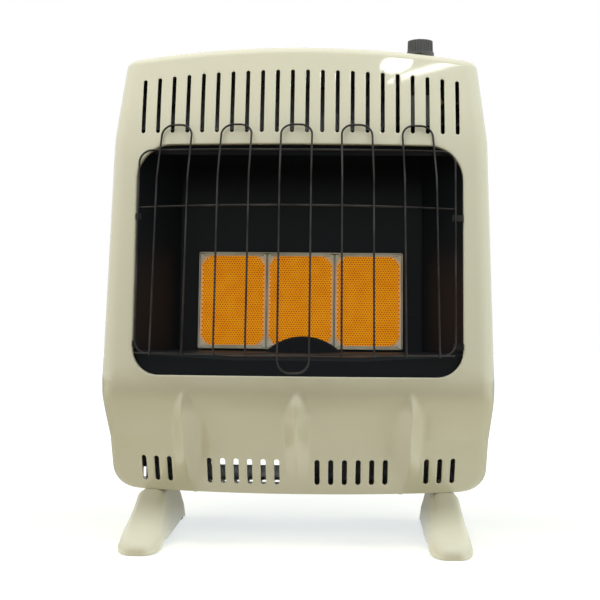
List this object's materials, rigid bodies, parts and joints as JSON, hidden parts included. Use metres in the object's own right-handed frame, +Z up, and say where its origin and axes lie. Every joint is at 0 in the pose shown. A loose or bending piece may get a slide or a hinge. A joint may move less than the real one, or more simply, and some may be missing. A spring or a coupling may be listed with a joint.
{
  "type": "vent-free gas room heater",
  "caption": "Free-standing infrared gas room heater with ceramic radiant plaques behind a wire guard, an enamelled steel casing, bolt-on feet and a rotary control knob on top.",
  "frame": {"origin": "on the floor under the middle of the whole heater", "axes": "+Z up, the heater faces -Y, +X to its right as seen from the front"},
  "size_m": [0.52, 0.3484, 0.689],
  "materials": {
    "cream_enamel": "gloss enamel",
    "black_enamel": "gloss heat-resistant enamel",
    "zinc_sheet": "galvanised",
    "burner_steel": "aluminised, heat-stained",
    "guard_wire": "dark plated wire",
    "plaque_ceramic": "matte, glowing orange",
    "fibre_gasket": "ceramic fibre",
    "aluminium_pipe": "drawn tube",
    "cast_alloy": "die cast",
    "brass": "machined",
    "spindle_steel": "machined",
    "knob_plastic": "moulded, dark grey",
    "ceramic_white": "glazed",
    "lead_sheath": "silicone sheath",
    "rubber_pad": "moulded",
    "zinc_fastener": "zinc plated"
  },
  "bodies": {
    "heater": {"front_casing": "cream_enamel", "left_foot": "cream_enamel", "right_foot": "cream_enamel", "rear_panel": "zinc_sheet", "base_panel": "zinc_sheet", "left_post": "zinc_sheet", "right_post": "zinc_sheet", "top_deflector": "zinc_sheet", "back_reflector": "black_enamel", "side_reflector_left": "black_enamel", "side_reflector_right": "black_enamel", "hood": "black_enamel", "lower_reflector": "black_enamel", "pilot_shield": "black_enamel", "guard_frame": "guard_wire", "guard_uprights": "guard_wire", "guard_cross_wires": "guard_wire", "guard_clips": "zinc_sheet", "burner_box": "burner_steel", "plaque_tray": "burner_steel", "plaque_clips": "burner_steel", "burner_brackets": "zinc_sheet", "venturi_tube": "burner_steel", "ceramic_plaque_left": "plaque_ceramic", "ceramic_plaque_centre": "plaque_ceramic", "ceramic_plaque_right": "plaque_ceramic", "plaque_gaskets": "fibre_gasket", "injector_holder": "cast_alloy", "injector": "brass", "valve_shelf": "zinc_sheet", "valve_body": "cast_alloy", "valve_bonnet": "cast_alloy", "regulator_body": "cast_alloy", "regulator_cap": "cast_alloy", "inlet_fitting": "brass", "regulator_bracket": "zinc_sheet", "supply_pipe": "aluminium_pipe", "burner_pipe": "aluminium_pipe", "pilot_pipe": "aluminium_pipe", "pilot_burner": "brass", "pilot_bracket": "zinc_sheet", "ignition_electrode": "ceramic_white", "thermocouple": "spindle_steel", "ignition_lead": "lead_sheath", "piezo_igniter": "knob_plastic", "flare_nuts": "brass", "foot_pads": "rubber_pad", "foot_bolts": "zinc_fastener", "foot_nuts": "zinc_fastener", "casing_screws": "zinc_fastener", "frame_screws": "zinc_fastener", "bracket_screws": "zinc_fastener"},
    "plug": {"valve_plug": "brass", "knob_spring": "spindle_steel"},
    "knob": {"control_knob": "knob_plastic", "knob_spindle": "spindle_steel", "spindle_collar": "spindle_steel"}
  },
  "joints": [
    {"name": "knob_turn", "type": "hinge", "parent": "heater", "child": "plug", "pos_m": [0.163, -0.0315, 0.6], "axis": [0, 0, 1], "range_deg": [0, 180]},
    {"name": "knob_press", "type": "slide", "parent": "plug", "child": "knob", "axis": [0, 0, -1], "range_m": [0, 0.004], "stiffness_N_per_m": 1200, "springref_m": -0.003, "deforming": ["knob_spring"]}
  ]
}
